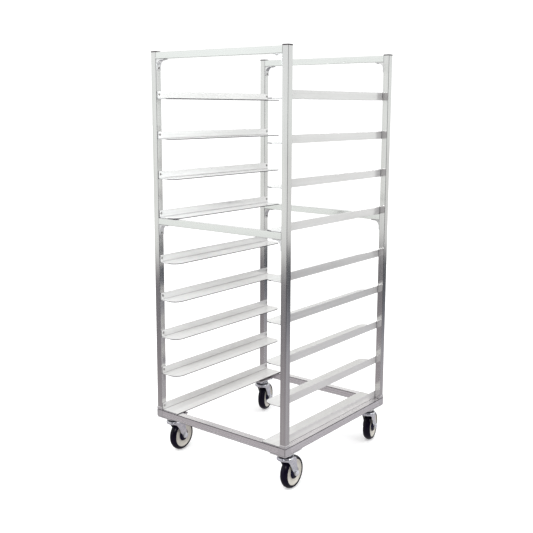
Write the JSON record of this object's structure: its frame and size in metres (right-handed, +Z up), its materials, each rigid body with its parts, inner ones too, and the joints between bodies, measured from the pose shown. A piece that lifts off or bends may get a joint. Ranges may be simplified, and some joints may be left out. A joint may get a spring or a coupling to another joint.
{
  "type": "sheet pan rack",
  "caption": "Open aluminium rack on swivel casters: square-tube posts carry pairs of wide angle ledges on which sheet pans slide in from the front.",
  "frame": {"origin": "on the floor, under the centre of the frame's footprint", "axes": "+Z up, +X across the front to the right, -Y out of the front, where pans go in"},
  "size_m": [0.6568, 0.74, 1.616],
  "materials": {
    "frame_aluminium": "mill",
    "slide_aluminium": "mill",
    "base_aluminium": "mill",
    "cast_aluminium": "cast",
    "rivet_steel": "satin",
    "cap_plastic": "satin",
    "caster_zinc": "bright zinc",
    "tyre_rubber": "satin",
    "wheel_plastic": "satin",
    "guard_plastic": "gloss"
  },
  "bodies": {
    "rack": {"post_front_left": "frame_aluminium", "base_corner_front_left": "cast_aluminium", "post_front_right": "frame_aluminium", "base_corner_front_right": "cast_aluminium", "post_rear_left": "frame_aluminium", "base_corner_rear_left": "cast_aluminium", "post_rear_right": "frame_aluminium", "base_corner_rear_right": "cast_aluminium", "post_caps": "cap_plastic", "top_rail_front": "frame_aluminium", "top_rail_rear": "frame_aluminium", "mid_rail_front": "frame_aluminium", "mid_rail_rear": "frame_aluminium", "gussets": "cast_aluminium", "gusset_rivets": "rivet_steel", "slide_left_1": "slide_aluminium", "slide_left_2": "slide_aluminium", "slide_left_3": "slide_aluminium", "slide_left_4": "slide_aluminium", "slide_left_5": "slide_aluminium", "slide_left_6": "slide_aluminium", "slide_left_7": "slide_aluminium", "slide_left_8": "slide_aluminium", "slide_left_9": "slide_aluminium", "slide_right_1": "slide_aluminium", "slide_right_2": "slide_aluminium", "slide_right_3": "slide_aluminium", "slide_right_4": "slide_aluminium", "slide_right_5": "slide_aluminium", "slide_right_6": "slide_aluminium", "slide_right_7": "slide_aluminium", "slide_right_8": "slide_aluminium", "slide_right_9": "slide_aluminium", "slide_rivets": "rivet_steel", "base_rail_front": "base_aluminium", "base_rail_rear": "base_aluminium", "base_rail_left": "base_aluminium", "base_rail_right": "base_aluminium", "caster_plates": "caster_zinc", "plate_bolts": "caster_zinc"},
    "fork_front_left": {"fork_front_left": "caster_zinc", "axle_front_left": "caster_zinc"},
    "wheel_front_left": {"wheel_core_front_left": "wheel_plastic", "tyre_front_left": "tyre_rubber", "thread_guards_front_left": "guard_plastic"},
    "fork_front_right": {"fork_front_right": "caster_zinc", "axle_front_right": "caster_zinc"},
    "wheel_front_right": {"wheel_core_front_right": "wheel_plastic", "tyre_front_right": "tyre_rubber", "thread_guards_front_right": "guard_plastic"},
    "fork_rear_left": {"fork_rear_left": "caster_zinc", "axle_rear_left": "caster_zinc"},
    "wheel_rear_left": {"wheel_core_rear_left": "wheel_plastic", "tyre_rear_left": "tyre_rubber", "thread_guards_rear_left": "guard_plastic"},
    "fork_rear_right": {"fork_rear_right": "caster_zinc", "axle_rear_right": "caster_zinc"},
    "wheel_rear_right": {"wheel_core_rear_right": "wheel_plastic", "tyre_rear_right": "tyre_rubber", "thread_guards_rear_right": "guard_plastic"}
  },
  "joints": [
    {"name": "swivel_front_left", "type": "hinge", "parent": "rack", "child": "fork_front_left", "pos_m": [-0.2855, -0.2905, 0.15], "axis": [0, 0, 1], "continuous": true},
    {"name": "wheel_spin_front_left", "type": "hinge", "parent": "fork_front_left", "child": "wheel_front_left", "pos_m": [-0.28843, -0.2486, 0.0625], "axis": [0.9976, 0.0698, 0], "continuous": true},
    {"name": "swivel_front_right", "type": "hinge", "parent": "rack", "child": "fork_front_right", "pos_m": [0.2855, -0.2905, 0.15], "axis": [0, 0, 1], "continuous": true},
    {"name": "wheel_spin_front_right", "type": "hinge", "parent": "fork_front_right", "child": "wheel_front_right", "pos_m": [0.28257, -0.2486, 0.0625], "axis": [0.9976, 0.0698, 0], "continuous": true},
    {"name": "swivel_rear_left", "type": "hinge", "parent": "rack", "child": "fork_rear_left", "pos_m": [-0.2855, 0.2905, 0.15], "axis": [0, 0, 1], "continuous": true},
    {"name": "wheel_spin_rear_left", "type": "hinge", "parent": "fork_rear_left", "child": "wheel_rear_left", "pos_m": [-0.29778, 0.33066, 0.0625], "axis": [0.9563, 0.2924, 0], "continuous": true},
    {"name": "swivel_rear_right", "type": "hinge", "parent": "rack", "child": "fork_rear_right", "pos_m": [0.2855, 0.2905, 0.15], "axis": [0, 0, 1], "continuous": true},
    {"name": "wheel_spin_rear_right", "type": "hinge", "parent": "fork_rear_right", "child": "wheel_rear_right", "pos_m": [0.27534, 0.33125, 0.0625], "axis": [0.9703, 0.2419, 0], "continuous": true}
  ]
}
